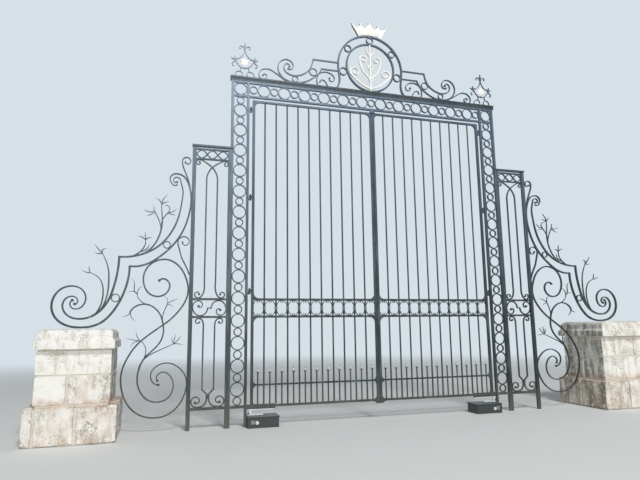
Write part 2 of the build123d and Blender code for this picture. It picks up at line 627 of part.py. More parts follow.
# Coronet with five points, standing on the outer circle
brim = hub + outer_ring
edge = [(-186, brim - 60), (-256, brim + 70), (-306, brim + 148), (-306, brim + 182)]
edge += [(-244, brim + 128), (-196, brim + 128), (-158, brim + 188), (-120, brim + 128)]
edge += [(-66, brim + 128), (0, brim + 220)]
edge += [(-x, z) for x, z in reversed(edge[:-1])]
coronet = make_face(Polyline(*edge, close=True))
for x, z in ((-304, 190), (-158, 196), (0, 232), (158, 196), (304, 190)):
    coronet = coronet + disc(x, brim + z, 20)
coronet = coronet - disc(0, hub, outer_ring + 0.3)
save(upright(coronet, 45), "crest_coronet")

# Emblem in the inner circle, a scrolled tree
def twin(points, bar, tip=None, eye=0):
    return [ribbon(crest(points), bar, tip, eye), ribbon(crest(points, -1), bar, tip, eye)]


emblem = [annulus(0, hub + 10, 46, 14), annulus(0, hub - 200, 36, 12)]
lower = [(-6, 60), (-90, 88), (-190, 146), (-290, 232), (-352, 330)] + coil(-262, 322, 84, 26, 140, -150)
upper = [(-6, 236), (-80, 300), (-150, 400), (-182, 520)] + coil(-112, 560, 72, 22, 175, -130)
leaflet = [(-4, 640), (-52, 704), (-60, 776)]
emblem += twin(lower, 24, 16, 20) + twin(upper, 22, 15, 18) + twin(leaflet, 20, 6)
emblem = (joined(emblem) & disc(0, hub, inner_ring - ring_bar - 0.3)) + mortise
save(upright(emblem, 24), "crest_emblem")

# Scrolls and double bars beside the medallion
hook = [(-985, 438), (-1000, 366), (-1022, 302), (-1064, 236), (-1122, 184), (-1200, 143)]
hook += [(-1285, 122), (-1375, 135), (-1440, 176), (-1466, 236), (-1455, 285), (-1420, 312)]
hook += [(-1385, 300), (-1375, 272)]
great = [(-845, 296), (-880, 226), (-950, 151), (-1050, 76), (-1160, 26), (-1300, 8), (-1420, 32)]
great += [(-1510, 96), (-1560, 196), (-1548, 296), (-1490, 361), (-1410, 381), (-1340, 346)]
great += [(-1315, 286), (-1325, 245), (-1355, 222), (-1390, 228)]
tail = [(-1430, 28), (-1520, 76), (-1610, 136), (-1690, 176), (-1770, 178), (-1835, 141)]
tail += [(-1862, 76), (-1840, 17), (-1790, 4), (-1745, 31), (-1740, 71), (-1770, 91), (-1795, 71)]
arc = [(-897, -8), (-925, 56), (-922, 136), (-884, 208), (-810, 246), (-730, 246), (-660, 211)]
arc += [(-630, 151), (-655, 106), (-700, 106), (-712, 151)]
sprig = [(-722, -8), (-765, 51), (-805, 101), (-855, 106), (-872, 71)]
side = [
    ribbon(crest(hook), 20, 12, 18),
    ribbon(crest(great), 20, 12, 18),
    ribbon(crest(tail), 16, 9, 16),
    ribbon(crest(arc), 16, 9, 16),
    ribbon(crest(sprig), 14, 9, 14),
    annulus(-986, CORNICE_TOP + 223, 65, 12),
    annulus(-1283, CORNICE_TOP + 66, 51, 12),
    panel(-995, -540, CORNICE_TOP + 431, CORNICE_TOP + 451),
    panel(-855, -540, CORNICE_TOP + 286, CORNICE_TOP + 306),
]
side = (joined(side) & over) - disc(0, hub, outer_ring + 0.3) - ribbon(crest(flare), ring_bar + 0.6)
both(upright(side, 26), "crest_scrolls")

# Corner finials on the cornice, each round a star
def finial(points, way=1):
    return [(-FINIAL_X + way * x, CORNICE_TOP + z) for x, z in points]


strokes = [
    ([(-4, 466), (12, 406), (45, 340), (90, 300), (156, 278)], 12, 9),
    ([(92, 88), (120, 78), (142, 48), (150, -8)], 11, 11),
    ([(92, 88), (62, 84), (38, 60), (34, 32), (50, 20)], 11, 7),
    ([(72, 166), (62, 130), (72, 92)], 11, 11),
    ([(146, 252), (172, 228), (196, 196), (184, 172), (164, 178)], 13, 8),
    ([(146, 268), (176, 280), (208, 300)], 16, 6),
    ([(150, 268), (158, 304), (156, 342)], 20, 5),
    ([(150, 272), (132, 292), (108, 300)], 14, 5),
    ([(0, 474), (34, 500), (64, 506), (84, 488), (78, 466), (62, 470)], 13, 8),
]
lines = []
for points, bar, tip in strokes:
    lines.append(ribbon(finial(points), bar, tip))
    lines.append(ribbon(finial(points, -1), bar, tip))
dish = [(-152, 284), (-126, 232), (-84, 176), (-40, 150), (0, 142), (40, 150), (84, 176)]
dish += [(126, 232), (152, 284)]
lines.append(ribbon(finial(dish), 12))
lines.append(ribbon(finial([(0, 450), (0, 500), (0, 576)]), 26, 4))
lines.append(Pos(-FINIAL_X, CORNICE_TOP + 470) * Circle(20))
star_z = CORNICE_TOP + 244
star_foot = star_z - 78
lines.append(panel(-FINIAL_X - 6, -FINIAL_X + 6, CORNICE_TOP + 138, star_foot))
star = []
for i in range(12):
    a = math.radians(30 * i + 90)
    r = 50 if i % 2 else 86
    star.append((-FINIAL_X + r * math.cos(a), star_z + r * math.sin(a)))
star = make_face(Polyline(*star, close=True))
star = star - panel(-FINIAL_X - 50, -FINIAL_X + 50, star_foot - 60, star_foot)
both(upright(joined(lines) & over, 18), "finial")
both(upright(star, 22), "finial_star")

# Piers
plinth = block(-PIER_X - PLINTH_HALF, -PIER_X + PLINTH_HALF, 0, PLINTH_TOP, PIER_DEEP + 200)
both(plinth, "pier_plinth")
for name, lift in (("left_", 0), ("right_", RIGHT_LIFT)):
    shaft = block(-PIER_X - SHAFT_HALF, -PIER_X + SHAFT_HALF, PLINTH_TOP, SHAFT_TOP + lift, PIER_DEEP)
    slab_low = SHAFT_TOP + lift
    slab_top = slab_low + CAP_SLAB
    slab = block(-PIER_X - CAP_HALF, -PIER_X + CAP_HALF, slab_low, slab_top, PIER_DEEP + 160)
    crown_half = CAP_HALF - 32
    crown_top = PIER_TOP + lift
    crown = block(-PIER_X - crown_half, -PIER_X + crown_half, slab_top - 20, crown_top, PIER_DEEP + 96)
    crown = fillet(crown.edges().group_by(Axis.Z)[-1], 60)
    cap = fillet(slab.edges().group_by(Axis.Z)[-1], 14) + crown
    if lift:
        shaft = other(shaft)
        cap = other(cap)
    save(shaft, name + "pier_shaft")
    save(cap, name + "pier_cap")
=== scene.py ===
import json
import math

import bpy
from mathutils import Matrix, Vector


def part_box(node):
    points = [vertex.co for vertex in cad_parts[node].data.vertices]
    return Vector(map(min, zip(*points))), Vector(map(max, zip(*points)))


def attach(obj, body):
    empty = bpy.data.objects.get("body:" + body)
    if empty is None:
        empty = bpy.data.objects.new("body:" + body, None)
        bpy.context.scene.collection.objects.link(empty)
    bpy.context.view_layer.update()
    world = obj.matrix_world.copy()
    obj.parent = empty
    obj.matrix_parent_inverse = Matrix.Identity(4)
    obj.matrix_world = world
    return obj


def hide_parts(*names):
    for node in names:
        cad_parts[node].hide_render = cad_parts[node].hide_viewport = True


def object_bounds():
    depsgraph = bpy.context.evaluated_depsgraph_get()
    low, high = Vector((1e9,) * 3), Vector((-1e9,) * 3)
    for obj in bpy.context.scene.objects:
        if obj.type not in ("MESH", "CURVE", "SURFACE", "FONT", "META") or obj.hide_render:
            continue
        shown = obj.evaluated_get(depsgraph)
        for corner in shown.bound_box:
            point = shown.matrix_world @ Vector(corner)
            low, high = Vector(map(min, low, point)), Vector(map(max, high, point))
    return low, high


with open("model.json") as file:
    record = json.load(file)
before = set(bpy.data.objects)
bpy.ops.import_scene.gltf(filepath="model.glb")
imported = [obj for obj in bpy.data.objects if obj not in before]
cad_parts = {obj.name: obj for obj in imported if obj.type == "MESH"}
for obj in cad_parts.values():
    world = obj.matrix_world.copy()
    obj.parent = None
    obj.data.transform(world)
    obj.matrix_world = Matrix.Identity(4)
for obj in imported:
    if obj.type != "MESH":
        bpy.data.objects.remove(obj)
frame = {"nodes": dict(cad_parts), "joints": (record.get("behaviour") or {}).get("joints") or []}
nodes = frame["nodes"]
cadLow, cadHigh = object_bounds()
middle = (cadLow.x + cadHigh.x) / 2  # where the two leaves meet
axes = {joint["child"]: Vector(joint["pos_m"]) for joint in frame["joints"]}
inward = {"left": 1, "right": -1}  # the way along x from each side to the middle
tiny = 0.001  # metres: what is nearer than this is in the same place
print("gate loaded,", len(nodes), "nodes")


# Shared tools


def linear(hexColour):
    # The looks below give sRGB colours, and the nodes take linear ones
    parts = [int(hexColour[i : i + 2], 16) / 255 for i in (1, 3, 5)]
    return [c / 12.92 if c <= 0.04045 else ((c + 0.055) / 1.055) ** 2.4 for c in parts] + [1]


def addNode(tree, kind, settings=None, links=None):
    # Sockets go by name, or by number on a Mix node: 0 is the factor, 6 and 7 are the two colours
    node = tree.nodes.new(kind)
    for name, value in (settings or {}).items():
        if name == "stops":
            ramp = node.color_ramp
            while len(ramp.elements) < len(value):
                ramp.elements.new(0.5)
            for stop, (place, colour) in zip(ramp.elements, value):
                stop.position = place
                stop.color = colour
        elif isinstance(name, int) or name in node.inputs:
            node.inputs[name].default_value = value
        else:
            setattr(node, name, value)
    for name, socket in (links or {}).items():
        tree.links.new(socket, node.inputs[name])
    return node


def newMaterial(name):
    material = bpy.data.materials.new(name)
    material.use_nodes = True
    tree = material.node_tree
    tree.nodes.clear()
    shader = addNode(tree, "ShaderNodeBsdfPrincipled")
    addNode(tree, "ShaderNodeOutputMaterial", links={"Surface": shader.outputs["BSDF"]})
    place = addNode(tree, "ShaderNodeTexCoord").outputs["Object"]
    return material, tree, shader, place


def layCoats(tree, look, colour, coats):
    # Lays colours of the look over the one that is there. A coat is its colour's name, the socket
    # that it follows, where it starts and where it is full, how much it then covers, and a socket
    # that holds it back, or None.
    for tint, follows, start, full, most, limit in coats:
        amount = addNode(
            tree,
            "ShaderNodeMapRange",
            {"From Min": start, "From Max": full, "To Max": most},
            {"Value": follows},
        )
        share = amount.outputs["Result"]
        if limit:
            held = addNode(tree, "ShaderNodeMath", {"operation": "MULTIPLY"}, {0: share, 1: limit})
            share = held.outputs["Value"]
        coat = addNode(
            tree,
            "ShaderNodeMix",
            {"data_type": "RGBA", 7: linear(look[tint])},
            {0: share, 6: colour},
        )
        colour = coat.outputs[2]
    return colour


def deselect():
    if bpy.context.object and bpy.context.object.mode != "OBJECT":
        bpy.ops.object.mode_set(mode="OBJECT")
    bpy.ops.object.select_all(action="DESELECT")


def settle():
    # The object goes to the origin and keeps its place in its mesh
    bpy.ops.object.transform_apply(location=True, rotation=True, scale=True)


def editAll():
    # Edit mode on, with all of the active piece selected
    bpy.ops.object.mode_set(mode="EDIT")
    bpy.ops.mesh.select_all(action="SELECT")


def bevelAll(width, segments):
    editAll()
    bpy.ops.mesh.bevel(offset=width, segments=segments)
    bpy.ops.object.mode_set(mode="OBJECT")


def pickPoints(piece, wanted):
    # Edit mode on, with only the wanted points selected
    deselect()
    bpy.ops.object.mode_set(mode="EDIT")
    bpy.ops.mesh.select_mode(type="VERT")
    bpy.ops.mesh.select_all(action="DESELECT")
    bpy.ops.object.mode_set(mode="OBJECT")
    for vertex in piece.data.vertices:
        vertex.select = bool(wanted(vertex.co))
    bpy.ops.object.mode_set(mode="EDIT")


def addBlock(low, high):
    # A block between two corners, to be shaped further
    deselect()
    centre = [(a + b) / 2 for a, b in zip(low, high)]
    size = [b - a for a, b in zip(low, high)]
    bpy.ops.mesh.primitive_cube_add(size=1, location=centre, scale=size)
    settle()
    return bpy.context.object


def copyTo(piece, offset):
    # A copy with a mesh of its own, moved by offset
    twin = piece.copy()
    twin.data = piece.data.copy()
    bpy.context.scene.collection.objects.link(twin)
    twin.data.transform(Matrix.Translation(offset))
    return twin


def mergeAll(piece, gap):
    # Edit mode on, with all of the piece selected and points nearer than gap made one
    deselect()
    piece.select_set(True)
    bpy.context.view_layer.objects.active = piece
    editAll()
    bpy.ops.mesh.remove_doubles(threshold=gap)


def paint(piece, material):
    piece.data.materials.clear()
    piece.data.materials.append(material)


def joinAll(pieces, name, material):
    deselect()
    for piece in pieces:
        piece.select_set(True)
    bpy.context.view_layer.objects.active = pieces[0]
    if len(pieces) > 1:
        bpy.ops.object.join()
    piece = bpy.context.object
    piece.name = name
    piece.data.name = name
    paint(piece, material)
    return piece


# Materials

ironPaint = {
    "dark": "#252b2d",
    "light": "#3f494b",
    "chalk": "#747f85",
    # Painted sky sheen, paler and bluer higher up
    "skySheen": "#566d83",
    # Rubbed metal with a painted highlight, round the knobs
    "rubbedAndGlint": "#8f9496",
    # White paint with a painted glint, on the buds
    "budWhiteAndGlint": "#dcdad2",
    "rust": "#5a4030",
    "dust": "#857b6a",
    "roughness": 0.36,
    "metallic": 0.3,
    "forgeMarks": 0.018,  # metres from one hammer mark to the next
}


def makeIronPaint(look, name, paleBand=None):
    # Wrought iron under old satin paint: blue-grey, chalky where rain and sun reach it, and paler
    # and bluer higher up, which is painted sky sheen. Between the two heights of its pale band it
    # has the
    # colour that the band names: rubbed metal with a painted highlight on the knobs, and white
    # paint with a painted glint on the buds.
    material, tree, shader, place = newMaterial(name)
    broad = addNode(
        tree, "ShaderNodeTexNoise", {"Scale": 2.2, "Detail": 6, "Roughness": 0.6}, {"Vector": place}
    )
    tone = addNode(
        tree,
        "ShaderNodeValToRGB",
        {"stops": [(0.32, linear(look["dark"])), (0.7, linear(look["light"]))]},
        {"Fac": broad.outputs["Fac"]},
    )
    stretch = addNode(tree, "ShaderNodeMapping", {"Scale": (26, 26, 2.5)}, {"Vector": place})
    streak = addNode(
        tree,
        "ShaderNodeTexNoise",
        {"Scale": 1, "Detail": 4},
        {"Vector": stretch.outputs["Vector"]},
    )
    spots = addNode(
        tree, "ShaderNodeTexNoise", {"Scale": 34, "Detail": 8, "Roughness": 0.7}, {"Vector": place}
    )
    facing = addNode(tree, "ShaderNodeNewGeometry")
    normal = addNode(tree, "ShaderNodeSeparateXYZ", links={"Vector": facing.outputs["Normal"]})
    height = addNode(tree, "ShaderNodeSeparateXYZ", links={"Vector": place}).outputs["Z"]
    coats = [
        ("chalk", streak.outputs["Fac"], 0.5, 0.74, 0.5, None),
        ("dust", normal.outputs["Z"], 0.5, 1, 0.45, None),
        ("rust", spots.outputs["Fac"], 0.63, 0.74, 0.75, None),
        ("dust", height, 0.5, 0, 0.4, None),
        # Painted sky sheen: paler and bluer higher up
        ("skySheen", height, 1.5, 5.6, 0.5, None),
    ]
    # A paler band between two heights: rubbed metal and painted highlight on the knobs, white paint
    # and painted glint on the buds
    if paleBand:
        lowEnd, highEnd, fade, other = paleBand
        risen = addNode(
            tree,
            "ShaderNodeMapRange",
            {"From Min": lowEnd - fade, "From Max": lowEnd},
            {"Value": height},
        )
        coats.append((other, height, highEnd + fade, highEnd, 0.75, risen.outputs["Result"]))
    colour = layCoats(tree, look, tone.outputs["Color"], coats)
    tree.links.new(colour, shader.inputs["Base Color"])
    gloss = addNode(
        tree,
        "ShaderNodeMapRange",
        {
            "From Min": 0.3,
            "From Max": 0.75,
            "To Min": look["roughness"] - 0.1,
            "To Max": look["roughness"] + 0.18,
        },
        {"Value": broad.outputs["Fac"]},
    )
    tree.links.new(gloss.outputs["Result"], shader.inputs["Roughness"])
    shader.inputs["Metallic"].default_value = look["metallic"]
    marks = addNode(
        tree,
        "ShaderNodeTexVoronoi",
        {"Scale": 1 / look["forgeMarks"], "feature": "SMOOTH_F1", "Smoothness": 0.8},
        {"Vector": place},
    )
    bump = addNode(
        tree,
        "ShaderNodeBump",
        {"Strength": 0.35, "Distance": 0.0015},
        {"Height": marks.outputs["Distance"]},
    )
    tree.links.new(bump.outputs["Normal"], shader.inputs["Normal"])
    return material


whiteEnamel = {
    "white": "#f3efe8",
    "grime": "#c3b9aa",
    # Rust and painted shade on the undersides
    "rust": "#a8764e",
    # Bare iron and painted shade on the plate's side faces
    "edge": "#5c4c44",
    "roughness": 0.35,
}


def makeWhiteEnamel(look, name, bareAndShadedEdges=False):
    # Brushed white enamel on iron, grey where water runs off it, and rusty brown underneath, partly
    # rust and partly painted shade. Plate has its sawn edges left brown: bare iron, and painted
    # shade on the side faces.
    material, tree, shader, place = newMaterial(name)
    stretch = addNode(tree, "ShaderNodeMapping", {"Scale": (14, 14, 3)}, {"Vector": place})
    runs = addNode(
        tree,
        "ShaderNodeTexNoise",
        {"Scale": 1, "Detail": 6},
        {"Vector": stretch.outputs["Vector"]},
    )
    amount = addNode(
        tree,
        "ShaderNodeMapRange",
        {"From Min": 0.5, "From Max": 0.8, "To Max": 0.6},
        {"Value": runs.outputs["Fac"]},
    )
    washed = addNode(
        tree,
        "ShaderNodeMix",
        {"data_type": "RGBA", 6: linear(look["white"]), 7: linear(look["grime"])},
        {0: amount.outputs["Result"]},
    )
    facing = addNode(tree, "ShaderNodeNewGeometry")
    normal = addNode(tree, "ShaderNodeSeparateXYZ", links={"Vector": facing.outputs["Normal"]})
    # Rusty brown on the undersides, partly painted shade
    coats = [("rust", normal.outputs["Z"], -0.25, -0.9, 0.8, None)]
    if bareAndShadedEdges:
        # Dark brown side faces: bare iron, partly painted shade
        flat = addNode(tree, "ShaderNodeMath", {"operation": "ABSOLUTE"}, {0: normal.outputs["Y"]})
        coats.append(("edge", flat.outputs["Value"], 0.5, 0.2, 0.85, None))
    colour = layCoats(tree, look, washed.outputs[2], coats)
    tree.links.new(colour, shader.inputs["Base Color"])
    shader.inputs["Roughness"].default_value = look["roughness"]
    brush = addNode(tree, "ShaderNodeTexNoise", {"Scale": 60, "Detail": 3}, {"Vector": place})
    bump = addNode(
        tree,
        "ShaderNodeBump",
        {"Strength": 0.25, "Distance": 0.001},
        {"Height": brush.outputs["Fac"]},
    )
    tree.links.new(bump.outputs["Normal"], shader.inputs["Normal"])
    return material


stoneLook = {
    "pale": "#f8f5ee",
    "buff": "#ece5d8",
    "grey": "#c8c1b4",
    "stain": "#c2baa9",
    "speck": "#8d846d",
    # Painted shade on the ends
    "sideShade": "#7e7b72",
    "dark": "#686256",
    "crust": "#fdfcf8",
    "ochre": "#b48353",
    "roughness": 0.9,
    "grain": 0.006,
    # Scale, detail, roughness and distortion of each pattern of blotches
    "blotches": {
        "tones": (3.1, 8, 0.65, 0),
        "growth": (4.2, 6, 0.6, 0.5),
        "specks": (48, 7, 0.78, 0),
        "crusts": (15, 8, 0.72, 0.6),
        "earth": (7, 9, 0.7, 0),
        "pits": (30, 6, 0.75, 0),
    },
    # How thick soil and moss lie, by metres above the ground: most of all round the plinth's ledge
    "soil": [(0, 0.6), (0.2, 0.3), (0.39, 0.35), (0.45, 1), (0.5, 0.7), (0.57, 0)],
    "sides": 0.6,  # a face is one of the ends with painted shade where its normal lies this far along x
}


def makeStone(look, name, cleaner):
    # Dressed limestone out of doors for a century: bleached and crusted with pale lichen, with grey
    # runs down its faces, clouds of olive specks, dark pits, and painted shade on its ends. Each
    # stone has its own tone, and cleaner makes them all paler.
    material, tree, shader, place = newMaterial(name)
    own = addNode(tree, "ShaderNodeAttribute", {"attribute_name": "tone"})
    spread = {}
    for use, (scale, detail, roughness, distortion) in look["blotches"].items():
        blotches = addNode(
            tree,
            "ShaderNodeTexNoise",
            {"Scale": scale, "Detail": detail, "Roughness": roughness, "Distortion": distortion},
            {"Vector": place},
        )
        spread[use] = blotches.outputs["Fac"]
    shifted = addNode(
        tree,
        "ShaderNodeMath",
        {"operation": "MULTIPLY_ADD", 1: -0.15, 2: 0.07 + cleaner},
        {0: own.outputs["Fac"]},
    )
    base = addNode(
        tree,
        "ShaderNodeMath",
        {"operation": "ADD"},
        {0: spread["tones"], 1: shifted.outputs["Value"]},
    )
    tones = ((0.29, "grey"), (0.4, "buff"), (0.51, "pale"))
    ground = addNode(
        tree,
        "ShaderNodeValToRGB",
        {"stops": [(stop, linear(look[tint])) for stop, tint in tones]},
        {"Fac": base.outputs["Value"]},
    )
    # Grey runs, more of them on the darker stones
    stretch = addNode(tree, "ShaderNodeMapping", {"Scale": (9, 9, 1.7)}, {"Vector": place})
    runs = addNode(
        tree,
        "ShaderNodeTexNoise",
        {"Scale": 1, "Detail": 7, "Roughness": 0.7},
        {"Vector": stretch.outputs["Vector"]},
    )
    dirtier = addNode(
        tree,
        "ShaderNodeMath",
        {"operation": "MULTIPLY_ADD", 1: 0.1},
        {0: own.outputs["Fac"], 2: runs.outputs["Fac"]},
    )
    # Specks, only where the clouds of growth lie
    wider = addNode(
        tree,
        "ShaderNodeMath",
        {"operation": "MULTIPLY_ADD", 1: 0.16},
        {0: own.outputs["Fac"], 2: spread["growth"]},
    )
    grown = addNode(
        tree,
        "ShaderNodeMapRange",
        {"From Min": 0.54, "From Max": 0.66},
        {"Value": wider.outputs["Value"]},
    )
    # Painted shade, only on the ends, which the sun doesn't reach
    facing = addNode(tree, "ShaderNodeNewGeometry")
    normal = addNode(tree, "ShaderNodeSeparateXYZ", links={"Vector": facing.outputs["Normal"]})
    sideways = addNode(tree, "ShaderNodeMath", {"operation": "ABSOLUTE"}, {0: normal.outputs["X"]})
    shade = addNode(
        tree,
        "ShaderNodeMapRange",
        {"From Min": look["sides"], "From Max": 0.95, "To Max": 0.16},
        {"Value": sideways.outputs["Value"]},
    )
    shadeAndRuns = addNode(
        tree,
        "ShaderNodeMath",
        {"operation": "ADD"},
        {0: shade.outputs["Result"], 1: runs.outputs["Fac"]},
    )
    sidesOnly = addNode(
        tree,
        "ShaderNodeMath",
        {"operation": "GREATER_THAN", 1: look["sides"]},
        {0: sideways.outputs["Value"]},
    )
    height = addNode(tree, "ShaderNodeSeparateXYZ", links={"Vector": place})
    soil = addNode(
        tree,
        "ShaderNodeValToRGB",
        {"stops": [(at, (amount, amount, amount, 1)) for at, amount in look["soil"]]},
        {"Fac": height.outputs["Z"]},
    )
    coats = [
        ("stain", dirtier.outputs["Value"], 0.55, 0.68, 0.75, None),
        ("speck", spread["specks"], 0.47, 0.58, 0.85, grown.outputs["Result"]),
        # Painted shade darkens the ends
        ("sideShade", shadeAndRuns.outputs["Value"], 0.56, 0.74, 0.85, sidesOnly.outputs["Value"]),
        ("crust", spread["crusts"], 0.55, 0.6, 0.8, None),
        ("ochre", spread["earth"], 0.4, 0.68, 1, soil.outputs["Color"]),
        ("dark", spread["pits"], 0.63, 0.7, 0.75, None),
    ]
    colour = layCoats(tree, look, ground.outputs["Color"], coats)
    tree.links.new(colour, shader.inputs["Base Color"])
    shader.inputs["Roughness"].default_value = look["roughness"]
    grain = addNode(
        tree,
        "ShaderNodeTexNoise",
        {"Scale": 1 / look["grain"], "Detail": 5, "Roughness": 0.6},
        {"Vector": place},
    )
    coarse = addNode(
        tree, "ShaderNodeBump", {"Strength": 0.7, "Distance": 0.006}, {"Height": spread["specks"]}
    )
    fine = addNode(
        tree,
        "ShaderNodeBump",
        {"Strength": 0.5, "Distance": 0.002},
        {"Height": grain.outputs["Fac"], "Normal": coarse.outputs["Normal"]},
    )
    tree.links.new(fine.outputs["Normal"], shader.inputs["Normal"])
    return material


mortarLook = {"lime": "#eee8dc", "dark": "#cdc5b4", "roughness": 0.95}


def makeMortar(look):
    # Lime mortar, sandy and raked back by the weather
    material, tree, shader, place = newMaterial("lime mortar")
    sand = addNode(tree, "ShaderNodeTexNoise", {"Scale": 120, "Detail": 4}, {"Vector": place})
    colour = addNode(
        tree,
        "ShaderNodeValToRGB",
        {"stops": [(0.35, linear(look["dark"])), (0.62, linear(look["lime"]))]},
        {"Fac": sand.outputs["Fac"]},
    )
    tree.links.new(colour.outputs["Color"], shader.inputs["Base Color"])
    shader.inputs["Roughness"].default_value = look["roughness"]
    bump = addNode(
        tree,
        "ShaderNodeBump",
        {"Strength": 0.6, "Distance": 0.002},
        {"Height": sand.outputs["Fac"]},
    )
    tree.links.new(bump.outputs["Normal"], shader.inputs["Normal"])
    return material


zincLook = {"bright": "#eef0f1", "dull": "#d2d7d9", "spangle": 0.012, "metallic": 0.4}


def makeZinc(look):
    # Hot-dip zinc: metal with faint crystals, dulled outdoors
    material, tree, shader, place = newMaterial("hot-dip zinc on steel")
    crystals = addNode(
        tree, "ShaderNodeTexVoronoi", {"Scale": 1 / look["spangle"]}, {"Vector": place}
    )
    grey = addNode(tree, "ShaderNodeSeparateColor", links={"Color": crystals.outputs["Color"]})
    colour = addNode(
        tree,
        "ShaderNodeMix",
        {"data_type": "RGBA", 6: linear(look["dull"]), 7: linear(look["bright"])},
        {0: grey.outputs["Red"]},
    )
    tree.links.new(colour.outputs[2], shader.inputs["Base Color"])
    shader.inputs["Metallic"].default_value = look["metallic"]
    rough = addNode(
        tree,
        "ShaderNodeMapRange",
        {"To Min": 0.38, "To Max": 0.58},
        {"Value": grey.outputs["Green"]},
    )
    tree.links.new(rough.outputs["Result"], shader.inputs["Roughness"])
    return material


boxLook = {"coat": "#3a4040", "dust": "#7d807b", "roughness": 0.5}
plateLook = {"coat": "#85888b", "dust": "#9a9992", "roughness": 0.5}


def makeBoxCoat(look, name):
    # Powder coat with a fine orange peel, and road dust on top
    material, tree, shader, place = newMaterial(name)
    facing = addNode(tree, "ShaderNodeNewGeometry")
    normal = addNode(tree, "ShaderNodeSeparateXYZ", links={"Vector": facing.outputs["Normal"]})
    film = addNode(tree, "ShaderNodeTexNoise", {"Scale": 9, "Detail": 6}, {"Vector": place})
    flat = addNode(
        tree,
        "ShaderNodeMapRange",
        {"From Min": 0.4, "From Max": 1, "To Max": 0.9},
        {"Value": normal.outputs["Z"]},
    )
    amount = addNode(
        tree,
        "ShaderNodeMath",
        {"operation": "MULTIPLY"},
        {0: flat.outputs["Result"], 1: film.outputs["Fac"]},
    )
    colour = addNode(
        tree,
        "ShaderNodeMix",
        {"data_type": "RGBA", 6: linear(look["coat"]), 7: linear(look["dust"])},
        {0: amount.outputs["Value"]},
    )
    tree.links.new(colour.outputs[2], shader.inputs["Base Color"])
    shader.inputs["Roughness"].default_value = look["roughness"]
    peel = addNode(tree, "ShaderNodeTexNoise", {"Scale": 300, "Detail": 2}, {"Vector": place})
    bump = addNode(
        tree,
        "ShaderNodeBump",
        {"Strength": 0.3, "Distance": 0.0004},
        {"Height": peel.outputs["Fac"]},
    )
    tree.links.new(bump.outputs["Normal"], shader.inputs["Normal"])
    return material


plugLook = {"white": "#eceae4", "dirt": "#a39c8e", "roughness": 0.42, "ior": 1.53}


def makePlugCap(look):
    # Moulded white nylon, a little yellowed and dusty
    material, tree, shader, place = newMaterial("moulded white nylon")
    dust = addNode(tree, "ShaderNodeTexNoise", {"Scale": 60, "Detail": 5}, {"Vector": place})
    colour = addNode(
        tree,
        "ShaderNodeValToRGB",
        {"stops": [(0.36, linear(look["dirt"])), (0.52, linear(look["white"]))]},
        {"Fac": dust.outputs["Fac"]},
    )
    tree.links.new(colour.outputs["Color"], shader.inputs["Base Color"])
    shader.inputs["Roughness"].default_value = look["roughness"]
    shader.inputs["IOR"].default_value = look["ior"]
    bump = addNode(
        tree,
        "ShaderNodeBump",
        {"Strength": 0.2, "Distance": 0.0005},
        {"Height": dust.outputs["Fac"]},
    )
    tree.links.new(bump.outputs["Normal"], shader.inputs["Normal"])
    return material


# Where the paint differs from the rest: in its colours, or between two heights, with how far it
# fades out beyond them and the name of its colour there
# The cornice's colours; its painted sky sheen is darker than elsewhere
sooty = {"light": "#3b4346", "skySheen": "#4c565c", "chalk": "#6c7170"}
# The portal's painted sky sheen, paler than elsewhere
portalSkySheen = {"skySheen": "#768da3"}
# Rubbed metal round the knobs, partly a painted highlight
knobRubAndGlint = (1.628, 1.653, 0.006, "rubbedAndGlint")
# White paint on the buds, partly a painted glint
budPaintAndGlint = (0.742, 0.775, 0.008, "budWhiteAndGlint")

iron = makeIronPaint(ironPaint, "satin paint on wrought iron")
# Knobs of rubbed paint with a painted highlight
knobIron = makeIronPaint(ironPaint, "rubbed paint and painted glint on the knobs", knobRubAndGlint)
corniceIron = makeIronPaint({**ironPaint, **sooty}, "sooty paint on the cornice")
# Portal paint with a painted sky sheen higher up
portalIron = makeIronPaint({**ironPaint, **portalSkySheen}, "portal paint with painted sky sheen")
# Buds of white paint with a painted glint
tipIron = makeIronPaint(ironPaint, "white paint and painted glint on the buds", budPaintAndGlint)
enamel = makeWhiteEnamel(whiteEnamel, "white enamel on iron")
# The coronet plate's side faces take painted shade as well as bare iron
plateEnamel = makeWhiteEnamel(whiteEnamel, "white enamel on sawn plate", True)
shaftStone = makeStone(stoneLook, "weathered limestone", 0.0)
capStone = makeStone(stoneLook, "paler limestone of the caps", 0.03)
mortar = makeMortar(mortarLook)
zinc = makeZinc(zincLook)
boxCoat = makeBoxCoat(boxLook, "dark powder coat")
plateCoat = makeBoxCoat(plateLook, "grey powder coat")
plugCap = makePlugCap(plugLook)

# The first of these words that a node's name holds gives its finish
finishes = {
    "pier": shaftStone,
    "coronet": enamel,
    "emblem": enamel,
    "star": enamel,
    "heel_bracket": zinc,
    "pivot_box": boxCoat,
    "leaf_bars": knobIron,
    "dog_bars": tipIron,
    "cornice": corniceIron,
    "frieze": portalIron,
    "post": portalIron,
    "pilaster": portalIron,
}
for name, node in nodes.items():
    paint(node, next((finish for word, finish in finishes.items() if word in name), iron))
print("materials made")


# Piers, stone by stone

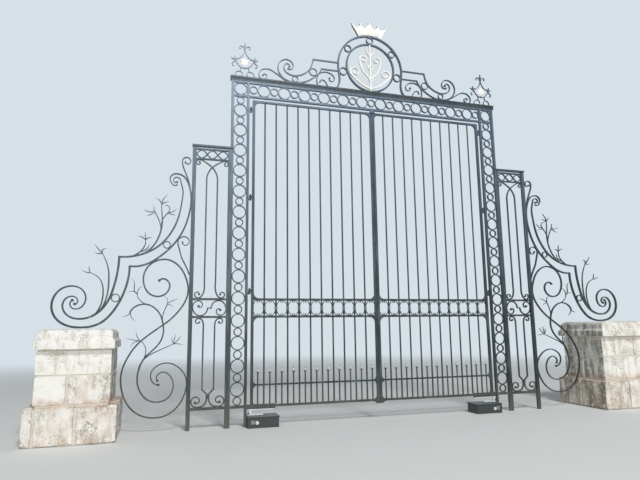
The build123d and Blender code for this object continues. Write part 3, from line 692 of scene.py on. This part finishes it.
pierStones = {
    "joint": 0.003,
    "inset": 0.002,  # how far the mortar lies behind the deepest wear of the stones' faces
    "grid": 0.016,  # size of the faces of a stone's mesh
    "edge": {"plinth": 0.02, "shaft": 0.004},
    # Size and depth of what the weather has taken off, coarse and then fine
    "wear": {"plinth": [(0.2, 0.03), (0.05, 0.009)], "shaft": [(0.16, 0.011), (0.045, 0.007)]},
    # Each course from the ground up: its share of the height, and where its front and its back
    # vertical joints fall, as shares of the length from the outer end
    "plinth": [(1, [0.13, 0.55], [0.4, 0.8])],
    "shaft": [(0.54, [0.42], [0.6]), (0.46, [0.27], [0.45])],
    # How grey each stone is, from the ground up, front before back
    "tones": {
        "leftPlinth": [0.3, 0.25, 0.45, 0.5, 0.3, 0.6],
        "rightPlinth": [0.8, 0.5, 0.6, 0.7, 0.6, 0.5],
        "leftShaft": [0, 0.62, 0.6, 0.3, 0.3, 0, 0.3, 0.7],
        "rightShaft": [0.5, 0.3, 0.6, 0.7, 0.4, 0.5, 0.3, 0.6],
    },
    # How far the mortar goes on under and over the stones
    "beds": {"plinth": (0, -0.03), "shaft": (0.05, 0.03)},
    "mortarEdge": 0.008,
    "mortarGrid": 0.03,
    "mortarWear": [(0.04, 0.006)],
}


def cutStone(low, high, edge):
    stone = addBlock(low, high)
    bevelAll(edge, 3)
    return stone


def weather(stone, grid, wear, tone=None):
    # Even faces first, then hollows pressed into them, so that the stone stays within its block
    even = stone.modifiers.new("even", "REMESH")
    even.mode = "VOXEL"
    even.voxel_size = grid
    bpy.ops.object.modifier_apply(modifier="even")
    for size, depth in wear:
        clouds = bpy.data.textures.new("wear", "CLOUDS")
        clouds.noise_scale = size
        clouds.noise_depth = 3
        hollows = stone.modifiers.new("wear", "DISPLACE")
        hollows.texture = clouds
        hollows.texture_coords = "GLOBAL"
        hollows.strength = depth
        hollows.mid_level = 1
        bpy.ops.object.modifier_apply(modifier="wear")
    if tone is not None:
        own = stone.data.attributes.new("tone", "FLOAT", "POINT")
        own.data.foreach_set("value", [tone] * len(stone.data.vertices))


def layStones(side, part, look):
    # One part of a pier in courses, each with a row of stones to the front and one to the back
    low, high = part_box(side + "_pier_" + part)
    length = high.x - low.x
    deep = (low.y + high.y) / 2
    half = look["joint"] / 2
    tones = iter(look["tones"][side + part.capitalize()])
    stones = []
    bottom = low.z
    for share, front, back in look[part]:
        top = bottom + (high.z - low.z) * share
        z0 = bottom + (half if bottom > low.z else 0)
        z1 = top - (half if top < high.z - tiny else 0)
        for joints, y0, y1 in ((front, low.y, deep - half), (back, deep + half, high.y)):
            if side == "right":
                joints = [1 - joint for joint in reversed(joints)]
            ends = [0] + joints + [1]
            for start, end in zip(ends, ends[1:]):
                x0 = low.x + length * start + (half if start else 0)
                x1 = low.x + length * end - (half if end < 1 else 0)
                stone = cutStone((x0, y0, z0), (x1, y1, z1), look["edge"][part])
                weather(stone, look["grid"], look["wear"][part], next(tones))
                stones.append(stone)
        bottom = top
    piece = joinAll(stones, side + part.capitalize() + "Stones", shaftStone)
    bpy.ops.object.shade_smooth_by_angle(angle=math.radians(45))
    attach(piece, "frame")
    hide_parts(side + "_pier_" + part)


def fillJoints(side, part, look):
    # Mortar a little behind the faces of the stones, in the beds and in the upright joints
    low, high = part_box(side + "_pier_" + part)
    inset = look["inset"] + look["wear"][part][0][1]
    under, over = look["beds"][part]
    bed = addBlock(
        (low.x + inset, low.y + inset, low.z - under),
        (high.x - inset, high.y - inset, high.z + over),
    )
    bevelAll(look["mortarEdge"], 2)
    weather(bed, look["mortarGrid"], look["mortarWear"])
    bed = joinAll([bed], side + part.capitalize() + "Mortar", mortar)
    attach(bed, "frame")


capLook = {
    "edge": 0.016,
    "slab": 0.118,
    "step": 0.034,
    "sunk": 0.03,  # how far the crown goes down into the slab
    "round": 0.085,
    "grid": 0.017,
    "wear": [(0.2, 0.014), (0.05, 0.008)],
    "tone": {"left": 0.4, "right": 0.6},
}


def layCap(side, look):
    # A slab and a rounded crown, cut from one stone
    low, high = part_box(side + "_pier_cap")
    slab = cutStone(low, (high.x, high.y, low.z + look["slab"]), look["edge"])
    step = Vector((look["step"], look["step"], 0))
    crown = addBlock(low + step + Vector((0, 0, look["slab"] - look["sunk"])), high - step)
    pickPoints(crown, lambda spot: spot.z > high.z - tiny)
    bpy.ops.mesh.select_mode(type="EDGE")
    bpy.ops.mesh.bevel(offset=look["round"], segments=6)
    bpy.ops.object.mode_set(mode="OBJECT")
    piece = joinAll([slab, crown], side + "CapStone", capStone)
    weather(piece, look["grid"], look["wear"], look["tone"][side])
    bpy.ops.object.shade_smooth_by_angle(angle=math.radians(50))
    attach(piece, "frame")
    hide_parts(side + "_pier_cap")


for side in inward:
    for part in ("plinth", "shaft"):
        layStones(side, part, pierStones)
        fillJoints(side, part, pierStones)
    layCap(side, capLook)
print("piers built")


# Finials and coronet in white enamel

starLook = {"arms": 6, "outer": 0.08, "inner": 0.045, "foot": 0.078, "rim": 0.004, "rise": 0.011}


def makeStar(side, look):
    # A flat star with a low peak in the middle of each face
    low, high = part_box(side + "_finial_star")
    centre = Vector(((low.x + high.x) / 2, 0, low.z + look["foot"]))
    hub = centre - Vector((0, look["rim"], 0))

    def betweenArms(spot):
        arm = (spot - hub).xz
        if arm.length < tiny:
            return False
        return round(arm.angle_signed(Vector((0, 1))) * look["arms"] / math.pi) % 2

    deselect()
    bpy.ops.mesh.primitive_circle_add(
        vertices=2 * look["arms"],
        radius=look["outer"],
        fill_type="TRIFAN",
        location=hub,
        rotation=(math.pi / 2, 0, 0),
    )
    settle()
    star = bpy.context.object
    pickPoints(star, betweenArms)
    inner = look["inner"] / look["outer"]
    bpy.ops.transform.resize(value=(inner, inner, inner), center_override=hub)
    pickPoints(star, lambda spot: (spot - hub).length < tiny)
    bpy.ops.transform.translate(value=(0, look["rim"] - look["rise"], 0))
    bpy.ops.mesh.select_all(action="SELECT")
    bpy.ops.mesh.duplicate()
    bpy.ops.transform.resize(value=(1, -1, 1), center_override=centre)
    bpy.ops.mesh.select_mode(type="EDGE")
    bpy.ops.mesh.select_all(action="DESELECT")
    bpy.ops.mesh.select_non_manifold()
    bpy.ops.mesh.bridge_edge_loops()
    bpy.ops.mesh.select_all(action="SELECT")
    bpy.ops.mesh.bisect(
        plane_co=(centre.x, 0, low.z), plane_no=(0, 0, -1), use_fill=True, clear_outer=True
    )
    bpy.ops.mesh.select_all(action="SELECT")
    bpy.ops.mesh.normals_make_consistent(inside=False)
    bpy.ops.object.mode_set(mode="OBJECT")
    piece = joinAll([star], side + "StarRelief", enamel)
    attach(piece, "frame")
    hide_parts(side + "_finial_star")


coronetLook = {
    "gap": 0.0001,  # points nearer than this in the CAD mesh are one
    "bevel": 0.002,
    "ball": 0.02,
    "ballDepth": 1.15,
    "tucked": 0.6,  # how small the plate's own round ends become inside the balls
    # Balls on the points, from the middle of the crest and down from the highest point of the piece
    "balls": [(-0.304, 0.062), (-0.158, 0.056), (0, 0.02), (0.158, 0.056), (0.304, 0.062)],
    "beads": 15,
    "bead": 0.009,
    "beadDepth": 0.7,
    # The arc of beads: its centre down from the top of the crest's circles, its radius and its
    # width in degrees, and how far the beads stand from the middle of the plate
    "arc": (0.573, 0.598, 34, 0.0215),
}


def makeCoronet(look):
    # A coronet of sheet iron, with a ball on each point and a row of beads along its foot
    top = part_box("crest_coronet")[1].z
    plate = bpy.data.objects.new("plate", nodes["crest_coronet"].data.copy())
    bpy.context.scene.collection.objects.link(plate)
    mergeAll(plate, look["gap"])
    bpy.ops.mesh.dissolve_limited(angle_limit=math.radians(2))
    balls = [Vector((middle + across, 0, top - down)) for across, down in look["balls"]]
    for ball in balls:
        pickPoints(plate, lambda spot: (spot - ball).xz.length < look["ball"] + tiny / 2)
        bpy.ops.transform.resize(value=(look["tucked"], 1, look["tucked"]), center_override=ball)
    bpy.ops.mesh.select_mode(type="EDGE")
    bpy.ops.mesh.select_all(action="DESELECT")
    bpy.ops.mesh.edges_select_sharp(sharpness=math.radians(50))
    bpy.ops.mesh.bevel(offset=look["bevel"], segments=2, clamp_overlap=True)
    bpy.ops.object.mode_set(mode="OBJECT")
    plate = joinAll([plate], "coronetPlate", plateEnamel)
    bpy.ops.object.shade_smooth_by_angle(angle=math.radians(40))
    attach(plate, "frame")
    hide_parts("crest_coronet")
    beads = []
    down, radius, width, proud = look["arc"]
    hub = Vector((middle, 0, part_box("crest_circles")[1].z - down))
    for face in (-1, 1):
        for k in range(look["beads"]):
            turn = math.radians(width * k / (look["beads"] - 1) - width / 2)
            spot = hub + Vector((math.sin(turn), 0, math.cos(turn))) * radius
            spot.y = face * proud
            beads.append(spot)
    pieces = []
    for spots, size, depth, segments, rings in (
        (balls, look["ball"], look["ballDepth"], 24, 14),
        (beads, look["bead"], look["beadDepth"], 12, 8),
    ):
        for spot in spots:
            deselect()
            bpy.ops.mesh.primitive_uv_sphere_add(
                segments=segments, ring_count=rings, radius=size, location=spot
            )
            bpy.ops.transform.resize(value=(1, depth, 1))
            settle()
            pieces.append(bpy.context.object)
    piece = joinAll(pieces, "coronetBalls", enamel)
    bpy.ops.object.shade_smooth_by_angle(angle=math.radians(40))
    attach(piece, "frame")


for side in inward:
    makeStar(side, starLook)
makeCoronet(coronetLook)
print("stars and coronet made")


# Turned and forged details on the bars


def turned(profile, spot, sides):
    # A round piece drawn up from its foot through each height and radius
    height, radius = profile[0]
    deselect()
    bpy.ops.mesh.primitive_circle_add(
        vertices=sides,
        radius=radius,
        fill_type="NGON",
        location=Vector(spot) + Vector((0, 0, height)),
    )
    settle()
    editAll()
    for nextHeight, nextRadius in profile[1:]:
        rise = (0, 0, nextHeight - height)
        bpy.ops.mesh.extrude_region_move(TRANSFORM_OT_translate={"value": rise})
        scale = nextRadius / radius
        bpy.ops.transform.resize(
            value=(scale, scale, 1), center_override=Vector(spot) + Vector((0, 0, nextHeight))
        )
        height, radius = nextHeight, nextRadius
    bpy.ops.mesh.select_all(action="SELECT")
    bpy.ops.mesh.normals_make_consistent(inside=False)
    bpy.ops.object.mode_set(mode="OBJECT")
    return bpy.context.object


leafLook = {
    "stile": 0.0445,  # from the hinge axis to the middle of the hinge stile
    "pitch": 0.174,
    "bays": 11,
    # Height and radius, from the middle of the knob
    "baluster": [
        (-0.088, 0.0125),
        (-0.076, 0.0165),
        (-0.055, 0.0205),
        (-0.034, 0.0195),
        (-0.017, 0.015),
        (-0.0135, 0.0165),
        (-0.012, 0.0235),
        (-0.004, 0.0255),
        (0.004, 0.0255),
        (0.012, 0.0235),
        (0.0135, 0.0165),
        (0.018, 0.0145),
        (0.034, 0.0185),
        (0.05, 0.0185),
        (0.068, 0.0155),
        (0.08, 0.0125),
    ],
    "knobHeight": 1.6405,
    # The bud on a dog bar, from the foot of its collar
    "bud": [
        (-0.004, 0.0105),
        (0, 0.0145),
        (0.0075, 0.0145),
        (0.0095, 0.0118),
        (0.015, 0.0125),
        (0.024, 0.0165),
        (0.033, 0.0176),
        (0.043, 0.0145),
        (0.054, 0.0078),
        (0.062, 0.004),
        (0.073, 0.0016),
    ],
    "budHeight": 0.725,
    # The ear's curl: its centre from the foot of the collar, its radius and turn, and the bar's
    # own radius
    "earSpot": (0.019, 0, 0.009),
    "ear": 0.0068,
    "earTurn": 190,
    "earBar": 0.0032,
}


def makeEars(spot, look):
    # The two small leaves that rise from the collar and turn outwards
    centre = Vector(spot) + Vector(look["earSpot"])
    deselect()
    bpy.ops.mesh.primitive_circle_add(
        vertices=6,
        radius=look["earBar"],
        fill_type="NGON",
        location=centre - Vector((look["ear"], 0, 0)),
    )
    settle()
    editAll()
    turn = math.radians(look["earTurn"])
    bpy.ops.mesh.spin(steps=7, angle=turn, center=centre, axis=(0, 1, 0))
    bpy.ops.mesh.select_all(action="SELECT")
    bpy.ops.mesh.fill_holes(sides=0)
    bpy.ops.mesh.normals_make_consistent(inside=False)
    bpy.ops.object.mode_set(mode="OBJECT")
    first = bpy.context.object
    other = copyTo(first, -Vector(spot))
    other.data.transform(Matrix.Translation(spot) @ Matrix.Scale(-1, 4, (1, 0, 0)))
    other.data.flip_normals()
    return [first, other]


def dressBars(side, look):
    # A turned baluster on each round bar in the lock band, and a bud on each dog bar
    body = side + "_leaf"
    way = inward[side]
    start = axes[body].x + way * look["stile"]
    knobSpot = (start + way * look["pitch"], 0, look["knobHeight"])
    budSpot = (start + way * look["pitch"] / 2, 0, look["budHeight"])
    knob = turned(look["baluster"], knobSpot, 16)
    bud = joinAll([turned(look["bud"], budSpot, 12)] + makeEars(budSpot, look), "bud", tipIron)
    for first, count, name, finish in (
        (knob, look["bays"] - 1, "Balusters", knobIron),
        (bud, look["bays"], "DogBarBuds", tipIron),
    ):
        row = [first]
        for k in range(1, count):
            row.append(copyTo(first, (way * look["pitch"] * k, 0, 0)))
        piece = joinAll(row, side + name, finish)
        bpy.ops.object.shade_smooth_by_angle(angle=math.radians(35))
        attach(piece, body)


for side in inward:
    dressBars(side, leafLook)
print("balusters and buds made")

scrollLook = {"gap": 0.00002, "paint": 0.0026, "edge": 0.0022}


def makeScrolls(side, look):
    # The side panel's scrolls, thicker by many coats of paint that have rounded their edges
    name = side + "_panel_scrolls"
    piece = copyTo(nodes[name], (0, 0, 0))
    mergeAll(piece, look["gap"])
    bpy.ops.transform.shrink_fatten(value=look["paint"], use_even_offset=True)
    bpy.ops.object.mode_set(mode="OBJECT")
    rounded = piece.modifiers.new("rounded", "BEVEL")
    rounded.width = look["edge"]
    rounded.segments = 2
    rounded.limit_method = "ANGLE"
    rounded.angle_limit = math.radians(50)
    bpy.ops.object.modifier_apply(modifier="rounded")
    piece = joinAll([piece], side + "PanelScrolls", iron)
    bpy.ops.object.shade_smooth_by_angle(angle=math.radians(40))
    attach(piece, "frame")
    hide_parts(name)


for side in inward:
    makeScrolls(side, scrollLook)
print("panel scrolls made")


# Small ironmongery

boltLook = {
    # Sides, then radius, height and start as shares of the head's own: washer, then hexagon
    "parts": [(24, 1.5, 0.25, 0), (6, 1, 1, 0.2)],
    "edge": 0.12,
}


def hexHead(spot, along, radius, high, look=boltLook):
    # A bolt head with its washer, standing on spot and pointing along
    turn = Vector(along).to_track_quat("Z", "Y").to_euler()
    pieces = []
    for sides, wide, tall, start in look["parts"]:
        deselect()
        bpy.ops.mesh.primitive_cylinder_add(
            vertices=sides,
            radius=radius * wide,
            depth=high * tall,
            location=Vector(spot) + Vector(along) * high * (start + tall / 2),
            rotation=turn,
        )
        settle()
        bevelAll(high * tall * look["edge"], 1)
        pieces.append(bpy.context.object)
    return pieces


pinLook = {
    "radius": 0.0125,
    "high": 0.011,
    "edge": 0.0012,
    "dome": 0.78,  # share of the nut's radius
    "stand": 0.047,  # the nut's foot above the middle of the eye
    "eyes": (4.64, 3.262, 1.866),
}


def makePinCaps(side, look):
    # A domed nut on the top of each hinge pin
    x = axes[side + "_leaf"].x
    pieces = []
    for eye in look["eyes"]:
        low = eye + look["stand"]
        deselect()
        bpy.ops.mesh.primitive_cylinder_add(
            vertices=6,
            radius=look["radius"],
            depth=look["high"],
            location=(x, 0, low + look["high"] / 2),
        )
        settle()
        bevelAll(look["edge"], 1)
        pieces.append(bpy.context.object)
        deselect()
        bpy.ops.mesh.primitive_uv_sphere_add(
            segments=20,
            ring_count=12,
            radius=look["radius"] * look["dome"],
            location=(x, 0, low + look["high"]),
        )
        settle()
        pieces.append(bpy.context.object)
    piece = joinAll(pieces, side + "PinNuts", iron)
    bpy.ops.object.shade_smooth_by_angle(angle=math.radians(30))
    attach(piece, "frame")


heelLook = {
    "radius": 0.0105,
    "high": 0.008,
    # Bolts through the heel, along from the hinge axis, and their height above the ground
    "heel": (0.1, 0.21, 0.32),
    "height": 0.268,
    "heelFace": 0.019,
    # Bolts up through the bracket's flange, and how thick that is
    "flange": (0.12, 0.23, 0.34),
    "flangeThick": 0.01,
}


def makeHeelBolts(side, look):
    # Bolts through the leaf's heel and up through the bracket's top plate
    body = side + "_leaf"
    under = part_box(side + "_heel_bracket")[1].z - look["flangeThick"]
    size = look["radius"], look["high"]
    pieces = []
    for along in look["heel"]:
        x = axes[body].x + inward[side] * along
        for face in (-1, 1):
            pieces += hexHead((x, face * look["heelFace"], look["height"]), (0, face, 0), *size)
    piece = joinAll(pieces, side + "HeelBolts", iron)
    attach(piece, body)
    pieces = []
    for along in look["flange"]:
        x = axes[body].x + inward[side] * along
        pieces += hexHead((x, 0, under), (0, 0, -1), *size)
    piece = joinAll(pieces, side + "BracketBolts", zinc)
    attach(piece, body)


boxFittings = {
    "front": -0.142,  # the box's front face along y
    "lid": 0.147,  # top of the lid above the ground
    "plug": (0.129, 0.071, 0.024),  # from the post's face, up from the ground, radius
    "proud": 0.007,
    # How the plug's face is stepped: inset by a share of its radius, then moved by one of its depth
    "steps": ((0.22, 0.4), (0.12, -0.3)),
    "plate": (0.042, 0.1, 0.05, 0.104),  # from and to, along from the post's face, then upwards
    "plateThick": 0.004,
    "plateEdge": 0.0012,
    # A screw's radius and height, and how far it stands in from the plate's edges
    "screw": (0.0045, 0.003),
    "screwInset": 0.01,
    "lidScrew": (0.009, 0.005),
    "lidScrews": ((0.03, 0.128), (0.42, 0.128), (0.03, -0.128), (0.42, -0.128)),
}


def makeBoxFittings(side, look):
    # A white plug and a small screwed plate on the front, and the screws of the lid
    low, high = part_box(side + "_pivot_box")
    way = inward[side]
    face = low.x if way > 0 else high.x
    across, up, radius = look["plug"]
    proud = look["proud"]
    deselect()
    bpy.ops.mesh.primitive_cylinder_add(
        vertices=40,
        radius=radius,
        depth=proud,
        location=(face + way * across, look["front"] - proud / 2, up),
        rotation=(math.pi / 2, 0, 0),
    )
    settle()
    plug = bpy.context.object
    pickPoints(plug, lambda spot: spot.y < look["front"] - proud + tiny)
    bpy.ops.mesh.select_mode(type="FACE")
    for inset, move in look["steps"]:
        bpy.ops.mesh.inset(thickness=radius * inset)
        bpy.ops.mesh.extrude_region_move(TRANSFORM_OT_translate={"value": (0, proud * move, 0)})
    bpy.ops.object.mode_set(mode="OBJECT")
    plug = joinAll([plug], side + "BoxPlug", plugCap)
    bpy.ops.object.shade_smooth_by_angle(angle=math.radians(30))
    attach(plug, "frame")
    x0, x1, z0, z1 = look["plate"]
    plateFace = look["front"] - look["plateThick"]
    ends = sorted((face + way * x0, face + way * x1))
    pieces = [addBlock((ends[0], plateFace, z0), (ends[1], look["front"], z1))]
    bevelAll(look["plateEdge"], 2)
    inset = look["screwInset"]
    for x in (x0 + inset, x1 - inset):
        for z in (z0 + inset, z1 - inset):
            pieces += hexHead((face + way * x, plateFace, z), (0, -1, 0), *look["screw"])
    for x, y in look["lidScrews"]:
        spot = (face + way * x, y, low.z + look["lid"])
        pieces += hexHead(spot, (0, 0, 1), *look["lidScrew"])
    piece = joinAll(pieces, side + "BoxPlate", plateCoat)
    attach(piece, "frame")


for side in inward:
    makePinCaps(side, pinLook)
    makeHeelBolts(side, heelLook)
for side in inward:
    makeBoxFittings(side, boxFittings)
print("ironmongery made")


# Floor, light and camera

studio = {
    "floor": "#ebebe8",
    "floorRoughness": 0.9,
    "floorSize": 600,
    "floorHeight": -0.002,
    "sky": "#d6e0e7",
    "near": 8,
    "far": 22,
    "soft": 0.32,
    # Where each lamp stands and what it is aimed at, from the middle of the gate, then its power
    # and its width
    "lamps": {
        "keyLamp": ((1.5, -26, 26), (0, 0, 2.6), 7500, 7),
        "fillLamp": ((-4, -30, 6), (0, 0, 2.4), 1600, 12),
    },
}


def makeFloor(look):
    # Pale floor that keeps the shadow and runs out into the backdrop's colour further off
    deselect()
    bpy.ops.mesh.primitive_plane_add(
        size=look["floorSize"], location=(middle, 0, look["floorHeight"])
    )
    floor = bpy.context.object
    floor.name = "studioFloor"
    material, tree, shader, place = newMaterial("studio floor")
    shader.inputs["Base Color"].default_value = linear(look["floor"])
    shader.inputs["Roughness"].default_value = look["floorRoughness"]
    away = addNode(tree, "ShaderNodeVectorMath", {"operation": "LENGTH"}, {0: place})
    fade = addNode(
        tree,
        "ShaderNodeMapRange",
        {"interpolation_type": "SMOOTHSTEP", "From Min": look["near"], "From Max": look["far"]},
        {"Value": away.outputs["Value"]},
    )
    seen = addNode(tree, "ShaderNodeLightPath")
    amount = addNode(
        tree,
        "ShaderNodeMath",
        {"operation": "MULTIPLY"},
        {0: fade.outputs["Result"], 1: seen.outputs["Is Camera Ray"]},
    )
    plain = addNode(tree, "ShaderNodeEmission", {"Color": linear(look["sky"]), "Strength": 1.0})
    mixed = addNode(
        tree,
        "ShaderNodeMixShader",
        links={0: amount.outputs["Value"], 1: shader.outputs["BSDF"], 2: plain.outputs["Emission"]},
    )
    output = [node for node in tree.nodes if node.type == "OUTPUT_MATERIAL"][0]
    tree.links.new(mixed.outputs[0], output.inputs["Surface"])
    paint(floor, material)


def setWorld(look):
    # Soft light on the gate. The camera, gloss and glass see the plain colour of the backdrop.
    world = bpy.data.worlds.new("studio")
    world.use_nodes = True
    bpy.context.scene.world = world
    tree = world.node_tree
    tree.nodes.clear()
    sky = linear(look["sky"])
    soft = addNode(tree, "ShaderNodeBackground", {"Color": sky, "Strength": look["soft"]})
    plain = addNode(tree, "ShaderNodeBackground", {"Color": sky, "Strength": 1.0})
    seen = addNode(tree, "ShaderNodeLightPath")
    bright = seen.outputs["Is Camera Ray"]
    for ray in ("Is Glossy Ray", "Is Transmission Ray"):
        either = addNode(
            tree, "ShaderNodeMath", {"operation": "MAXIMUM"}, {0: bright, 1: seen.outputs[ray]}
        )
        bright = either.outputs["Value"]
    pick = addNode(
        tree, "ShaderNodeMixShader", links={0: bright, 1: soft.outputs[0], 2: plain.outputs[0]}
    )
    addNode(tree, "ShaderNodeOutputWorld", links={"Surface": pick.outputs[0]})


def addLamps(look):
    centre = Vector((middle, 0, 0))
    for name, (spot, aim, power, size) in look["lamps"].items():
        lamp = bpy.data.lights.new(name, "AREA")
        lamp.energy = power
        lamp.size = size
        holder = bpy.data.objects.new(name, lamp)
        bpy.context.scene.collection.objects.link(holder)
        holder.location = centre + Vector(spot)
        holder.rotation_mode = "QUATERNION"
        holder.rotation_quaternion = (Vector(aim) - Vector(spot)).to_track_quat("-Z", "Y")


view = {
    "yaw": 16.381,
    "pitch": 9.408,
    "roll": -0.697,
    "lens": 30.2,
    "sensor": 36,
    "spot": (-1.162, -7.759, 1.331),
    "farEnd": 400,
}


def addCamera(look):
    yaw, pitch, roll = (math.radians(look[turn]) for turn in ("yaw", "pitch", "roll"))
    flat = Vector((math.sin(yaw), math.cos(yaw), 0))
    ahead = flat * math.cos(pitch) + Vector((0, 0, math.sin(pitch)))
    level = Vector((math.cos(yaw), -math.sin(yaw), 0))
    upright = level.cross(ahead)
    across = level * math.cos(roll) + upright * math.sin(roll)
    above = upright * math.cos(roll) - level * math.sin(roll)
    camera = bpy.data.objects.new("camera", bpy.data.cameras.new("camera"))
    bpy.context.scene.collection.objects.link(camera)
    camera.data.lens = look["lens"]
    camera.data.sensor_width = look["sensor"]
    camera.data.clip_end = look["farEnd"]
    camera.matrix_world = Matrix((across, above, -ahead)).transposed().to_4x4()
    camera.location = look["spot"]
    bpy.context.scene.camera = camera


makeFloor(studio)
setWorld(studio)
addLamps(studio)
addCamera(view)
bpy.context.scene.view_settings.view_transform = "Standard"
print("camera and light set")
